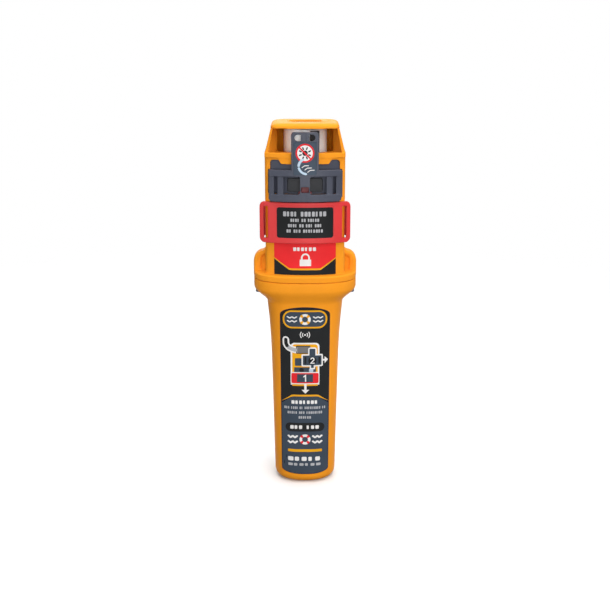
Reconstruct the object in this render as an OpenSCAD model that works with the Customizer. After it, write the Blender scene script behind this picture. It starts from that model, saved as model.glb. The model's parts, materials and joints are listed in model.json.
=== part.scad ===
// Hand-held emergency position beacon. Two yellow shells hold the radio and
// its battery. Above them a steel tape antenna is wound under a cap, behind a
// release clip that a sliding lock keeps in place.
// Z runs up the beacon, the front faces -Y, and the origin is the middle of
// the flat end of the handle. Sizes are in millimetres.

/* [Overall] */
// Height of the whole beacon
height = 137; // [136.5:0.5:139]
// Height of the joint between the lower and the upper shell
split_z = 79.8; // [79.4:0.2:80.2]
// Width across the flange and its ears
flange_w = 38; // [37.6:0.2:39]
// Depth of the flange, front to back
flange_d = 27.8; // [27.4:0.2:29]

/* [Handle] */
// Width of the handle at its lower end
handle_w_low = 23.2; // [23:0.2:25]
// Width of the handle just under the flange
handle_w_top = 28.2; // [28:0.2:29]
// Depth of the handle at its lower end
handle_d_low = 20.6; // [20.6:0.2:21.6]
// Depth of the handle just under the flange
handle_d_top = 24.2; // [24:0.2:25]

/* [Head] */
// Width of the neck and head
neck_w = 28.8; // [28.7:0.1:29.2]
// Radius of the curved front of the head, about an upright axis
bow_r = 34; // [34:0.1:34.1]
// Distance from the middle of the head to its front
neck_front = 11.8; // [11.7:0.1:11.9]

/* [Lock slider] */
// Width of the lock slider
slider_w = 32.7; // [32.5:0.1:33.5]
// Height of the lock slider
slider_h = 14.8; // [14.4:0.1:14.8]
// Distance that the lock slider moves down
slider_travel = 11.2; // [8:0.1:11.3]
// Width of each strap slot
slot_w = 1.55; // [1.2:0.05:1.55]
// Height of each strap slot
slot_h = 11.65; // [10:0.05:12]

/* [Release clip] */
// Width of the release clip's bars
clip_w = 25.9; // [25.7:0.1:26.6]
// Thickness of the release clip
clip_t = 1.55; // [1.4:0.05:1.6]
// Width of the clip's pull tab
tab_w = 9.7; // [9:0.1:10]

/* [Antenna] */
// Width of the steel tape
tape_w = 8.7; // [8.2:0.1:8.7]
// Thickness of the steel tape
tape_t = 0.15; // [0.12:0.01:0.16]
// Distance from one turn of the tape to the next
tape_pitch = 0.33; // [0.32:0.01:0.36]
// Outer diameter of the wound tape
coil_d = 16.1; // [15:0.1:16.1]

/* [Button and battery] */
// Radius of the push button
button_r = 2.5; // [2.2:0.1:2.5]
// Distance that the button can be pressed
button_travel = 0.8; // [0.4:0.1:0.8]
// Radius of a lithium cell
cell_r = 8.4; // [8.2:0.1:8.4]
// Length of a lithium cell with its contact
cell_l = 34.5; // [34:0.1:34.5]

/* [Hidden] */

$fn = 64;
gap = 0.05;               // clearance between fitted pieces
label_t = 0.15;           // thickness of a printed label
far = 60;                 // longer than any cut needs to be
yellow = [0.94, 0.58, 0.12];
slate = [0.29, 0.31, 0.37];
red = [0.80, 0.20, 0.20];
ink = [0.13, 0.13, 0.14];
steel = [0.75, 0.75, 0.76];
board_green = [0.10, 0.35, 0.22];

// Heights of the shells
flat_end_r = 3;           // rounding at the end of the handle
flare_z0 = 71;            // handle starts to widen
flare_z1 = 76.7;          // handle has reached the flange
flange_top = split_z + 2.8;
shelf_z0 = 125;
shelf_z1 = 126.7;
cap_h = 1.85;             // thickness of the cap at its middle
cap_z = height - cap_h;
cap_w = 24.6;
cap_d = 22.9;
seam = 0.3;               // chamfer on each side of the joint between the shells
pocket_z = 125.6;         // floor of the pocket for the tape
roof_z0 = 124;            // inside of the neck's roof
end_n = 2.2;              // squareness of the section at the end of the handle
end_z = 15;               // height where the handle's section has its full squareness
handle_n = 2.8;           // squareness of the handle's section
flange_n = 2.6;           // squareness of the flange's section
cap_n = 6;                // squareness of the cap's section
straight = 0.58;          // share of the handle's widening that is straight
spread_from = 0.52;       // share of its height where it starts to widen faster
ring_points = 56;         // points round one section of a shell

// Curved front: radii about the upright axis at [0, bow_c]
bow_c = bow_r - neck_front;
wall_r = bow_r - 1.8;     // back of the inset panels
cavity_r = bow_r - 2.8;   // inside of the front wall
panel_r = bow_r - 0.4;    // face of the inset panels
shelf_r = bow_r + 0.9;
lip_r = bow_r + 0.7;
slider_r = bow_r + 0.6;
slider_t = 1.6;
tongue_t = 0.6;
clip_r = bow_r + 1.35;

// Lock slider
slider_z1 = 109.4;
slider_z0 = slider_z1 - slider_h;
slot_x = 13.35;
lip_x = 14.05;
side_x = neck_w / 2 + 0.4;
side_y = -6.3;            // rear edge of the slider's side walls
cheek_y = -11.2;          // where the side walls start to fall away
cheek_fall = 2;           // how far they have fallen at the rear edge
lip_y = -7.75;            // front of the lips that run in the grooves
groove_x = 13.75;

// Release clip
clip_z0 = slider_z1 + 0.35;
clip_z1 = 134.3;
low_bar_z = 112.4;
top_bar_z0 = 118.75;
top_bar_z1 = 121;
stem_x = 1.75;            // half width of the stem between the bars
eye_x = 2.55;
eye_z = 132.3;

// Inset panels
sensor_z0 = 112.15;
sensor_z1 = 124.2;
button_z0 = 103;
button_z1 = 111.65;
button_x = -4;
button_z = 107.6;
window_x = 6;

// Boards and battery
board_front = -2.2;
board_t = 1.2;
switch_board_y = -7;
switch_board_t = 0.8;
post_x = 9.6;
post_z = [86, 117];
cell_z = 5.4;
bay_r = 8.9;
screw_x = 16.9;           // housing screws, in the ears
seat_z = 76.2;            // seat of a housing screw's head
screw_head = 2.6;         // height of a housing screw's head
ear_r = 4;                // outer corner of an ear
ear_fillet = 1.6;         // hollow corner between an ear and the neck
ear_z = 85.9;             // centre of an ear's outer corner
ear_y0 = -3.4;            // front of an ear
ear_y1 = 2.4;             // back of an ear
ear_edge = 0.9;           // rounding of an ear's edges

// Wound tape
drum_r = 3.8;
tape_z = pocket_z + 0.25;
turns = (coil_d / 2 - drum_r - tape_t - 0.1) / tape_pitch;
end_angle = -64;          // where the tape's free end lies
turn_points = 24;
spiral_points = floor(turns * turn_points);

// ---- Shared shapes ----

function power(value, exponent) = sign(value) * pow(abs(value), exponent);

// One ring of a shell: [height, half width, half depth, squareness]
function ring(r) = [for (i = [0 : ring_points - 1])
  let (a = 360 * i / ring_points)
  [r[1] * power(cos(a), 2 / r[3]), r[2] * power(sin(a), 2 / r[3]), r[0]]];

// A closed solid through a list of rings of points; the whole of a ring is seen from its first
module skin(rings) {
  n = len(rings[0]);
  last = len(rings) - 1;
  points = [for (r = rings) each r];
  walls = [for (j = [0 : last - 1], i = [0 : n - 1])
    let (a = j * n + i, b = j * n + (i + 1) % n)
    each [[a, a + n, b], [b, a + n, b + n]]];
  bottom = [for (i = [1 : n - 2]) [0, i, i + 1]];
  top = [for (face = bottom) [for (i = [2 : -1 : 0]) last * n + face[i]]];
  polyhedron(points, concat(bottom, walls, top), convexity = 4);
}

// A closed solid through shell sections, lowest first
module loft(sections) {
  skin([for (s = sections) ring(s)]);
}

// Half width, half depth and squareness of the lower shell at height z
function flare(z) = let (t = max(0, min(1, (z - flare_z0) / (flare_z1 - flare_z0))))
  t * t * (3 - 2 * t);
function along(z) = (z - flat_end_r) / (flare_z0 - flat_end_r);
function end_inset(z) = z >= flat_end_r ? 0
  : flat_end_r - sqrt(flat_end_r * flat_end_r - pow(flat_end_r - z, 2));
function spread(z) = straight * min(1, along(z))
  + (1 - straight) * pow(max(0, min(1, along(z)) - spread_from) / (1 - spread_from), 3);
function half_w(z) = let (w = handle_w_low + (handle_w_top - handle_w_low) * spread(z))
  (w + (flange_w - w) * flare(z)) / 2 - end_inset(z);
function half_d(z) = let (d = handle_d_low + (handle_d_top - handle_d_low) * min(1, along(z)))
  (d + (flange_d - d) * flare(z)) / 2 - end_inset(z);
function squareness(z) = let (n = end_n + (handle_n - end_n) * min(1, z / end_z))
  n + (flange_n - n) * flare(z);
function shell_ring(z, inset = 0) = [z, half_w(z) - inset, half_d(z) - inset, squareness(z)];

// Depth of the handle's face at x, z
function face_d(x, z) = let (n = squareness(z))
  half_d(z) * pow(1 - pow(abs(x) / half_w(z), n), 1 / n);

// Children outline x and z; the solid runs from y1 towards the front to y0
module through_y(y0, y1) {
  translate([0, y1, 0]) rotate([90, 0, 0]) linear_extrude(y1 - y0) children();
}

// Upright curved wall between two radii of the bowed front
module bow_wall(r0, r1, z0, z1) {
  translate([0, bow_c, z0]) difference() {
    cylinder(r = r1, h = z1 - z0, $fn = 180);
    translate([0, 0, -1]) cylinder(r = r0, h = z1 - z0 + 2, $fn = 180);
  }
}

// Part of a bowed wall with the outline of the children, seen from the front
module bowed(r0, r1) {
  intersection() {
    bow_wall(r0, r1, 70, height);
    through_y(-20, -5) children();
  }
}

// Rectangle from x0, z0 to x1, z1 with rounded corners
module rounded_box(x0, z0, x1, z1, r) {
  translate([x0 + r, z0]) square([x1 - x0 - 2 * r, z1 - z0]);
  translate([x0, z0 + r]) square([x1 - x0, z1 - z0 - 2 * r]);
  for (x = [x0 + r, x1 - r], z = [z0 + r, z1 - r]) translate([x, z]) circle(r, $fn = 32);
}

// Plan of a band that runs round the inside of the flange
module oval(w, d, r) {
  rounded_box(-w / 2, -d / 2, w / 2, d / 2, r);
}

// Plan of the neck: bowed front and back, flat sides, rounded corners
module neck_plan(grow = 0) {
  corner = 1.8;
  offset(r = corner + grow, $fn = 48) offset(delta = -corner) intersection() {
    translate([0, bow_c]) circle(bow_r, $fn = 240);
    translate([0, -bow_c]) circle(bow_r, $fn = 240);
    square([neck_w, 40], center = true);
  }
}

// Plan of the space inside the neck
module cavity_plan(r) {
  intersection() {
    translate([0, bow_c]) circle(r, $fn = 180);
    translate([0, -bow_c]) circle(wall_r, $fn = 180);
    square([25.8, 40], center = true);
  }
}

module cylinder_y(r, y0, y1, x, z) {
  translate([x, y1, z]) rotate([90, 0, 0]) cylinder(r = r, h = y1 - y0);
}

module box(x0, y0, z0, x1, y1, z1) {
  translate([x0, y0, z0]) cube([x1 - x0, y1 - y0, z1 - z0]);
}

module tube(r1, r0, z0, z1) {
  translate([0, 0, z0]) difference() {
    cylinder(r = r1, h = z1 - z0);
    translate([0, 0, -1]) cylinder(r = r0, h = z1 - z0 + 2);
  }
}

// ---- Shells ----

module lower_housing() {
  end_rings = [for (a = [90 : -22.5 : 0]) flat_end_r * (1 - sin(a))];
  flare_rings = [for (i = [0 : 8]) flare_z0 + (flare_z1 - flare_z0) * i / 8];
  body_rings = [for (z = [6 : 4.5 : 66]) z];
  heights = concat(end_rings, body_rings, flare_rings, [split_z - seam]);
  color(yellow) difference() {
    loft(concat([for (z = heights) shell_ring(z)], [shell_ring(split_z, seam)]));
    // Battery bay with a channel for the side strap and the flat coil
    translate([0, 0, 2.6]) cylinder(r = bay_r, h = split_z);
    box(8, -1.8, 4, 10.1, 1.8, far * 2);
    box(-6.2, -10.1, 55, 6.2, -8, far * 2);
    translate([0, 0, 74.8]) linear_extrude(far) oval(25.6, 19.6, 4);
    // Groove for the gasket
    translate([0, 0, split_z - 0.8]) linear_extrude(far) difference() {
      oval(30.2, 23.2, 5.2);
      oval(27.8, 20.8, 4);
    }
    // Housing screws from below
    for (side = [-1, 1]) translate([side * screw_x, 0, 0]) {
      translate([0, 0, 60]) cylinder(r = 1.95, h = seat_z - 60);
      translate([0, 0, 60]) cylinder(r = 1.15, h = far);
    }
  }
}

// Outline of one ear on the +X side, drawn in by inset, seen from the front
function ear_outline(inset) = let (
  x = flange_w / 2 - ear_r,
  fillet_x = neck_w / 2 + ear_fillet,
  fillet_z = ear_z + sqrt(pow(ear_r + ear_fillet, 2) - pow(fillet_x - x, 2)),
  lean = atan2(fillet_z - ear_z, fillet_x - x),
  root_x = neck_w / 2 - 1.4)
  concat([[root_x, split_z + 1], [flange_w / 2 - inset, split_z + 1]],
    [for (i = [0 : 12]) let (a = lean * i / 12)
      [x + (ear_r - inset) * cos(a), ear_z + (ear_r - inset) * sin(a)]],
    [for (i = [0 : 8]) let (a = 180 + lean * (1 - i / 8))
      [fillet_x + (ear_fillet + inset) * cos(a), fillet_z + (ear_fillet + inset) * sin(a)]],
    [[root_x, fillet_z]]);

// One ear with rounded edges, from its back to its front
module ear() {
  round_steps = [for (a = [90 : -22.5 : 0]) [1 - sin(a), 1 - cos(a)]];
  back = [for (s = round_steps) [ear_y1 - ear_edge * s[0], ear_edge * s[1]]];
  front = [for (i = [len(round_steps) - 1 : -1 : 0]) let (s = round_steps[i])
    [ear_y0 + ear_edge * s[0], ear_edge * s[1]]];
  skin([for (layer = concat(back, front))
    [for (p = ear_outline(layer[1])) [p[0], layer[0], p[1]]]]);
}

module ear_pocket() {
  corner = 1.8;
  x0 = neck_w / 2 + 0.25;
  x1 = 16.5;
  z0 = flange_top + 0.2;
  z1 = 88.4;
  intersection() {
    translate([x0, z0]) square([x1 - x0, z1 - z0]);
    rounded_box(x0 - 2 * corner, z0 - 2 * corner, x1, z1, corner);
  }
}

// Wall beside the wound tape, narrowing towards the cap
module head_taper(bottom, top, bottom_y, top_y) {
  intersection() {
    through_y(-20, 20) polygon([[-bottom, shelf_z1 - 1], [bottom, shelf_z1 - 1],
      [bottom, shelf_z1], [top, cap_z], [-top, cap_z], [-bottom, shelf_z1]]);
    rotate([0, 0, 90]) through_y(-20, 20) polygon([[-bottom_y, shelf_z1 - 1],
      [bottom_y, shelf_z1 - 1], [bottom_y, shelf_z1], [top_y, cap_z], [-top_y, cap_z],
      [-bottom_y, shelf_z1]]);
  }
}

module lip_outline() {
  polygon([[-9.9, shelf_z0 + 0.2], [-9.5, 124.4], [-8.6, 123.1], [-8, 122.85], [8, 122.85],
    [8.6, 123.1], [9.5, 124.4], [9.9, shelf_z0 + 0.2]]);
}

module upper_housing() {
  flange_rings = [[split_z, seam, seam], [split_z + seam, 0, 0], [split_z + 2, 0, 0],
    [split_z + 2.35, 0.12, 0.12], [split_z + 2.6, 0.55, 0.55], [flange_top, 3.4, 1.8]];
  color(yellow) difference() {
    union() {
      loft([for (r = flange_rings) [r[0], flange_w / 2 - r[1], flange_d / 2 - r[2], flange_n]]);
      translate([0, 0, split_z + 1]) linear_extrude(shelf_z1 - split_z - 1) neck_plan();
      for (side = [0, 1]) mirror([side, 0, 0]) ear();
      // Shelf under the wound tape, with a lip that hangs over the panel
      intersection() {
        translate([0, 0, shelf_z0]) linear_extrude(shelf_z1 - shelf_z0) neck_plan(0.9);
        box(-neck_w / 2, -20, 0, neck_w / 2, 0, height);
      }
      bowed(bow_r - 0.3, lip_r) lip_outline();
      // Side and back walls round the wound tape
      intersection() {
        translate([0, 0, shelf_z1 - 0.5]) linear_extrude(cap_z - shelf_z1 + 0.5) neck_plan();
        head_taper(neck_w / 2 - 0.15, cap_w / 2 - 0.15, neck_front + 1, neck_front - 0.9);
      }
    }
    // Space inside the neck, closed by the roof under the tape
    translate([0, 0, split_z - 1]) linear_extrude(102 - split_z + 1) cavity_plan(wall_r);
    translate([0, 0, split_z - 1]) linear_extrude(roof_z0 - split_z + 1) cavity_plan(cavity_r);
    // Round pocket for the tape, flared towards the front
    translate([0, 0, pocket_z]) cylinder(r = 10.3, h = far);
    intersection() {
      translate([0, 0, shelf_z1]) linear_extrude(cap_z) polygon([[-10.1, -2], [10.1, -2],
        [13.4, -9.6], [13.4, -16], [-13.4, -16], [-13.4, -9.6]]);
      head_taper(neck_w / 2 - 1.3, cap_w / 2 - 0.9, 20, 20);
    }
    // Seats and openings of the two inset panels
    bowed(wall_r, bow_r + 0.3) sensor_outline(gap);
    bowed(cavity_r - 1, bow_r) rounded_box(-10.9, 113.2, 10.9, 122.4, 1);
    bowed(wall_r, bow_r + 1) button_outline(gap);
    bowed(cavity_r - 1, bow_r) rounded_box(-10.9, 103.9, 10.9, 110.95, 1);
    // Guide grooves of the lock slider
    for (side = [0, 1]) mirror([side, 0, 0])
      box(groove_x, -7.9, slider_z0 - slider_travel - 0.45, far, -6.05, slider_z1 + 0.15);
    // Pockets in the ears, and threads of the housing screws
    for (side = [0, 1]) mirror([side, 0, 0]) {
      through_y(ear_y0 - 1, ear_y0 + 0.7) ear_pocket();
      translate([screw_x, 0, split_z - 1]) cylinder(r = 1.02, h = 9.7);
    }
    cylinder(r = 2, h = far * 3);
  }
  // Posts that carry the main board
  color(yellow) for (x = [-post_x, post_x], z = post_z) difference() {
    intersection() {
      cylinder_y(2.1, board_front + board_t + gap, 12, x, z);
      translate([0, 0, split_z]) linear_extrude(shelf_z0 - split_z)
        intersection() {
          translate([0, -bow_c]) circle(wall_r + 0.5, $fn = 180);
          square([26.4, 40], center = true);
        }
    }
    cylinder_y(0.97, -3, 5, x, z);
  }
}

module flange_gasket() {
  color(ink) translate([0, 0, split_z - 0.8]) linear_extrude(0.8) difference() {
    oval(30.1, 23.1, 5.15);
    oval(27.9, 20.9, 4.05);
  }
}

module housing_screws() {
  color(slate) for (side = [-1, 1]) translate([side * screw_x, 0, 0]) difference() {
    union() {
      translate([0, 0, seat_z - screw_head]) cylinder(r = 1.6, h = screw_head);
      translate([0, 0, seat_z - 0.1]) cylinder(r = 1, h = 88.2 - seat_z);
    }
    translate([0, 0, seat_z - screw_head - 1]) cylinder(r = 0.8, h = 2, $fn = 6);
  }
}

// ---- Cap and strobe light ----

module stadium(w, d) {
  square([w - d, d], center = true);
  for (side = [-1, 1]) translate([side * (w - d) / 2, 0]) circle(d / 2);
}

module top_cap() {
  // Inset of each ring from the cap's widest outline, and its height
  cap_rings = [[0, 0], [0.02, 0.4], [0.12, 0.8], [0.35, 1.2], [0.85, 1.55], [1.6, 1.75],
    [2.4, 1.82], [3.2, cap_h]];
  color(yellow) difference() {
    loft([for (r = cap_rings) [cap_z + r[1], cap_w / 2 - r[0], cap_d / 2 - r[0], cap_n]]);
    translate([0, 0, cap_z + 0.6]) linear_extrude(far) stadium(12.8, 8);
    translate([0, 0, cap_z - 1]) linear_extrude(far) stadium(10.8, 6.2);
  }
}

module strobe_lens() {
  color([1, 0.75, 0.35, 0.6]) {
    translate([0, 0, cap_z + 0.6]) linear_extrude(0.8) stadium(12.6, 7.8);
  }
}

module strobe_led() {
  color("white") box(-1.5, -1.5, cap_z - 0.5, 1.5, 1.5, cap_z + 0.5);
}

module strobe_board() {
  color(board_green) translate([0, 0, cap_z - 1.2]) cylinder(r = 3, h = 0.7);
}

module strobe_leads() {
  color(red) for (x = [-0.9, 0.9]) translate([x, -0.6, 119]) cylinder(r = 0.35, h = cap_z - 120.2);
}

// ---- Antenna ----

module antenna_drum() {
  color(ink) difference() {
    translate([0, 0, pocket_z]) cylinder(r = drum_r, h = cap_z - pocket_z - gap);
    translate([0, 0, pocket_z - 1]) cylinder(r = 1.9, h = far);
    translate([0, 0, cap_z - 1.2]) cylinder(r = 3.1, h = far);
    rotate([0, 0, 180]) cylinder_y(0.72, -5, 0, 0, tape_z + tape_w / 2);
    rotate([0, 0, 180]) cylinder_y(1.25, -5, -3.05, 0, tape_z + tape_w / 2);
  }
}

// Point of the spiral, counted from its outer end
function spiral(i, out) = let (
  a = end_angle + 360 * i / turn_points,
  r = coil_d / 2 - tape_pitch * i / turn_points - (1 - out) * tape_t)
  [r * cos(a), r * sin(a)];

module antenna_tape() {
  outer = [for (i = [0 : spiral_points]) spiral(i, 1)];
  inner = [for (i = [spiral_points : -1 : 0]) spiral(i, 0)];
  color(steel) translate([0, 0, tape_z]) linear_extrude(tape_w) polygon(concat(outer, inner));
}

module tape_end() {
  z = tape_z + tape_w / 2;
  reach = coil_d / 2 + gap;
  color(ink) difference() {
    intersection() {
      tube(reach + 1.1, reach, tape_z + 0.4, tape_z + tape_w - 0.4);
      rotate([0, 0, end_angle]) box(0, -1.9, 0, 20, 1.3, height);
    }
    rotate([0, 0, end_angle - 2]) translate([reach + 0.6, 0, z]) rotate([0, 90, 0])
      cylinder(r = 0.62, h = 5);
  }
}

module drum_screw() {
  z = tape_z + tape_w / 2;
  color(steel) rotate([0, 0, 180]) difference() {
    union() {
      cylinder_y(0.7, -3.4, -1.62, 0, z);
      cylinder_y(1.2, -3.55, -3.05, 0, z);
    }
    box(-1.3, -4, z - 0.15, 1.3, -3.35, z + 0.15);
  }
}

module feed_pin() {
  color("gold") translate([0, 1.1, 119]) cylinder(r = 0.5, h = 13);
}

module feed_grommet() {
  color(ink) difference() {
    translate([0, 0, roof_z0]) cylinder(r = 1.98, h = pocket_z - roof_z0);
    translate([0, 1.1, 0]) cylinder(r = 0.52, h = height);
    for (x = [-0.9, 0.9]) translate([x, -0.6, 0]) cylinder(r = 0.37, h = height);
  }
}

// ---- Inset panels, button and indicator ----

module sensor_outline(grow = 0) {
  translate([-13.15 - grow, sensor_z0 - grow]) square([26.3 + 2 * grow, 8.6 + 2 * grow]);
  rounded_box(-12.35 - grow, sensor_z0 - grow, 12.35 + grow, sensor_z1 + grow, 1.3);
}

module button_outline(grow = 0) {
  rounded_box(-12.4 - grow, button_z0 - grow, 12.4 + grow, button_z1 + grow, 1);
}

module sensor_panel() {
  color(slate) difference() {
    bowed(wall_r + gap, panel_r) sensor_outline();
    through_y(-20, -5) rounded_box(-6.25, 113, 6.25, 117.9, 0.6);
  }
}

module sensor_cover() {
  color([0.2, 0.21, 0.25]) difference() {
    bowed(wall_r + gap, bow_r + 0.35) rounded_box(-6.2, 113.05, 6.2, 117.85, 0.55);
    bowed(wall_r - 1, bow_r - 0.55) rounded_box(-5.2, 114, 5.2, 116.9, 0.3);
  }
}

module button_panel() {
  color(slate) difference() {
    union() {
      bowed(wall_r + gap, panel_r) button_outline();
      cylinder_y(3.3, -10.8, -9.1, button_x, button_z);
    }
    cylinder_y(button_r + 0.08, -20, -5, button_x, button_z);
    cylinder_y(button_r + 0.45, -10.2, -9.6, button_x, button_z);
    through_y(-20, -5) indicator_outline(gap);
  }
}

module indicator_outline(grow = 0) {
  rounded_box(window_x - 2.2 - grow, button_z - 1.5 - grow, window_x + 2.2 + grow,
    button_z + 1.5 + grow, 0.9);
}

module power_button() {
  color(ink) difference() {
    union() {
      cylinder_y(button_r, -11.45, -9, button_x, button_z);
      cylinder_y(button_r + 0.5, -9, -8.6, button_x, button_z);
      cylinder_y(1.2, -8.65, -7.5 - button_travel, button_x, button_z);
    }
    cylinder_y(button_r - 0.9, -12, -11.2, button_x, button_z);
  }
}

module button_seal() {
  color([0.25, 0.25, 0.26]) difference() {
    cylinder_y(button_r + 0.44, -10.19, -9.61, button_x, button_z);
    cylinder_y(button_r + 0.02, -12, -8, button_x, button_z);
  }
}

module indicator_window() {
  color([0.62, 0.80, 0.92, 0.8]) bowed(wall_r + gap, bow_r - 0.25) indicator_outline();
}

module status_led() {
  color("white") box(5, switch_board_y - 0.7, 107, 7, switch_board_y, 108.2);
}

module switch_board() {
  color(board_green) box(-10.5, switch_board_y, 104.8, 10.5, switch_board_y + switch_board_t,
    121.5);
}

module dome_switch() {
  color(steel) {
    cylinder_y(2.3, switch_board_y - 0.2, switch_board_y, button_x, button_z);
    cylinder_y(1.6, switch_board_y - 0.4, switch_board_y - 0.15, button_x, button_z);
  }
}

module magnet_sensor() {
  color(ink) box(-1.5, switch_board_y - 0.9, 118.6, 1.5, switch_board_y, 120.6);
}

module board_header() {
  color(ink) box(-4, switch_board_y + switch_board_t, 112, 4, board_front, 114.5);
}

// ---- Main board ----

module main_board() {
  color(board_green) difference() {
    box(-11.4, board_front, 76.5, 11.4, board_front + board_t, 122.5);
    for (x = [-post_x, post_x], z = post_z) cylinder_y(1.1, -5, 5, x, z);
  }
}

module board_chips() {
  front = board_front;
  color(ink) {
    box(-6, front - 1, 80.5, 0, front, 86.5);
    box(1.5, front - 1, 81, 6, front, 85.5);
    box(-7.6, front - 1.4, 107, -3.6, front, 110.5);
    box(3, front - 0.9, 107, 7.6, front, 111);
    box(-5.5, front - 0.9, 116, -1, front, 120);
    box(2.2, front - 0.9, 116.5, 5.7, front, 120);
  }
  color(steel) {
    box(-7.5, front - 1.2, 88, -4.2, front, 90.2);
    for (i = [0 : 4]) box(-2.5 + 2 * i, front - 0.7, 88, -1.5 + 2 * i, front, 89.8);
  }
}

module radio_shield() {
  back = board_front + board_t;
  color(steel) difference() {
    box(-7.2, back, 89, 7.2, back + 3.4, 113);
    box(-6.9, back - 1, 89.3, 6.9, back + 3.1, 112.7);
  }
}

module radio_chips() {
  back = board_front + board_t;
  color(ink) {
    box(-5, back, 91, 1, back + 1, 97);
    box(-4, back, 100, 3, back + 1.2, 107);
    box(3, back, 91.5, 6, back + 0.9, 95.5);
    box(-2, back, 109, 2, back + 1, 111.5);
  }
}

module satellite_antenna() {
  color([0.85, 0.80, 0.70]) box(-6, -6.2, 92.5, 6, board_front, 104.5);
  color(steel) box(-5, -6.35, 93.5, 5, -6.15, 103.5);
}

module board_screws() {
  color(steel) for (x = [-post_x, post_x], z = post_z) difference() {
    union() {
      cylinder_y(0.95, board_front - 0.1, 4, x, z);
      cylinder_y(1.7, board_front - 1.2, board_front, x, z);
    }
    translate([x - 1.1, board_front - 1.4, z - 0.2]) cube([2.2, 0.8, 0.4]);
    translate([x - 0.2, board_front - 1.4, z - 1.1]) cube([0.4, 0.8, 2.2]);
  }
}

// ---- Battery ----

module cell(z) {
  translate([0, 0, z]) cylinder(r = cell_r, h = cell_l - 1);
  translate([0, 0, z]) cylinder(r = 3.2, h = cell_l);
}

module lower_cell() {
  color([0.25, 0.4, 0.6]) cell(cell_z);
}

module upper_cell() {
  color([0.25, 0.4, 0.6]) cell(cell_z + cell_l + 0.15);
}

module cell_strap() {
  color(steel) box(-2.5, -5.5, cell_z + cell_l, 2.5, 5.5, cell_z + cell_l + 0.15);
}

module battery_sleeve() {
  color([0.3, 0.55, 0.75]) tube(cell_r + 0.25, cell_r + gap, cell_z, cell_z + 2 * cell_l - 0.85);
}

module battery_tabs() {
  top = cell_z + 2 * cell_l + 0.15;
  color(steel) {
    // From the upper cell's contact to the board
    box(-1.5, board_front - 0.15, top, 1.5, 1.5, top + 0.15);
    box(-1.5, board_front - 0.15, top, 1.5, board_front, 79.5);
    // From under the lower cell, up its side, to the board
    box(8.72, -1.5, cell_z - 0.15, 8.87, 1.5, 75.4);
    box(0, -1.5, cell_z - 0.15, 8.87, 1.5, cell_z);
    box(7.4, board_front - 0.15, 75.25, 8.87, 1.5, 75.4);
    box(7.4, board_front - 0.15, 75.25, 8.87, board_front, 79.5);
  }
}

module battery_foam() {
  color([0.35, 0.35, 0.37]) translate([0, 0, 2.6]) cylinder(r = cell_r, h = cell_z - 2.75);
}

module near_field_coil() {
  color([0.8, 0.5, 0.3]) difference() {
    box(-6, -10.05, 56, 6, -9.85, 71);
    box(-3.6, -11, 58.4, 3.6, -9, 68.6);
  }
}

// ---- Release clip ----

module clip_outline() {
  half = clip_w / 2;
  rounded_box(-tab_w / 2, top_bar_z0, tab_w / 2, clip_z1, 1.1);
  rounded_box(-half, top_bar_z0, half, top_bar_z1, 0.9);
  rounded_box(-half, clip_z0, half, low_bar_z, 1.2);
  translate([-stem_x, clip_z0 + 1]) square([2 * stem_x, 8.5]);
  for (side = [-1, 1]) {
    inside_corner(side * stem_x, low_bar_z, side, 1);
    inside_corner(side * stem_x, top_bar_z0, side, -1);
  }
}

// Rounds the inside corner at x, z that opens towards the signs sx and sz
module inside_corner(x, z, sx, sz) {
  corner = 0.7;
  difference() {
    translate([x + (sx - 1) * corner / 2, z + (sz - 1) * corner / 2]) square(corner);
    translate([x + sx * corner, z + sz * corner]) circle(corner, $fn = 32);
  }
}

module clip_ribs() {
  half = clip_w / 2;
  translate([-half + 0.05, clip_z0 + 1]) square([1.9, 9]);
  translate([half - 1.95, clip_z0 + 1]) square([1.5, 9]);
  for (side = [-1, 1])
    translate([side * 8.7 - 1.1, clip_z0 + 1]) square([2.2, 9]);
}

// Round towards the outside, straight towards the middle
module eye_outline() {
  translate([eye_x, eye_z]) circle(1.1);
  translate([eye_x - 1.05, eye_z - 1.1]) square([1.05, 2.2]);
}

module clip_label_outline(grow = 0) {
  rounded_box(-4.05 - grow, 119.4 - grow, 4.05 + grow, 130.9 + grow, 0.35);
}

module release_clip() {
  front_r = clip_r + clip_t;
  color(slate) difference() {
    union() {
      bowed(clip_r, front_r) clip_outline();
      bowed(clip_r, front_r - 0.55) clip_ribs();
      // Hook at the right-hand end, behind the bars
      bowed(bow_r + 0.3, clip_r + 0.3)
        rounded_box(clip_w / 2 - 0.6, clip_z0 + 1.2, clip_w / 2 + 0.4, top_bar_z1 - 0.4, 0.3);
      bowed(clip_r, front_r + 0.35) rounded_box(0.5, 131.2, 1.5, clip_z1 - 0.1, 0.3);
    }
    for (side = [0, 1]) mirror([side, 0, 0]) through_y(-20, -5) eye_outline();
    bowed(front_r - 0.3, front_r + 1) clip_label_outline(0.08);
    // Window over the slider's tongue, and the seat of the magnet
    through_y(-20, -5) translate([-stem_x + 0.3, 113]) square([2 * stem_x - 0.6, 2.1]);
    cylinder_y(1.55, -bow_y(clip_r) - 1, -5, 0, 119.9);
  }
}

// Distance of a radius of the bowed front from the middle of the head
function bow_y(r) = r - bow_c;

module clip_label() {
  front_r = clip_r + clip_t;
  color([0.28, 0.33, 0.40]) bowed(front_r - 0.3, front_r - 0.3 + label_t) clip_label_outline();
}

module clip_magnet() {
  color(steel) cylinder_y(1.5, -bow_y(clip_r) - 0.98, -bow_y(clip_r) - 0.1, 0, 119.9);
}

// ---- Lock slider ----

module slider_outline() {
  rounded_box(-slider_w / 2, slider_z0, slider_w / 2, slider_z1, 1.9);
}

module slider_label_outline(grow_x = 0, grow_z = 0) {
  x = 10.1 + grow_x;
  rounded_box(-x, slider_z0 + 2 - grow_z, x, slider_z1 - 1.75 + grow_z, 0.8);
}

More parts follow.
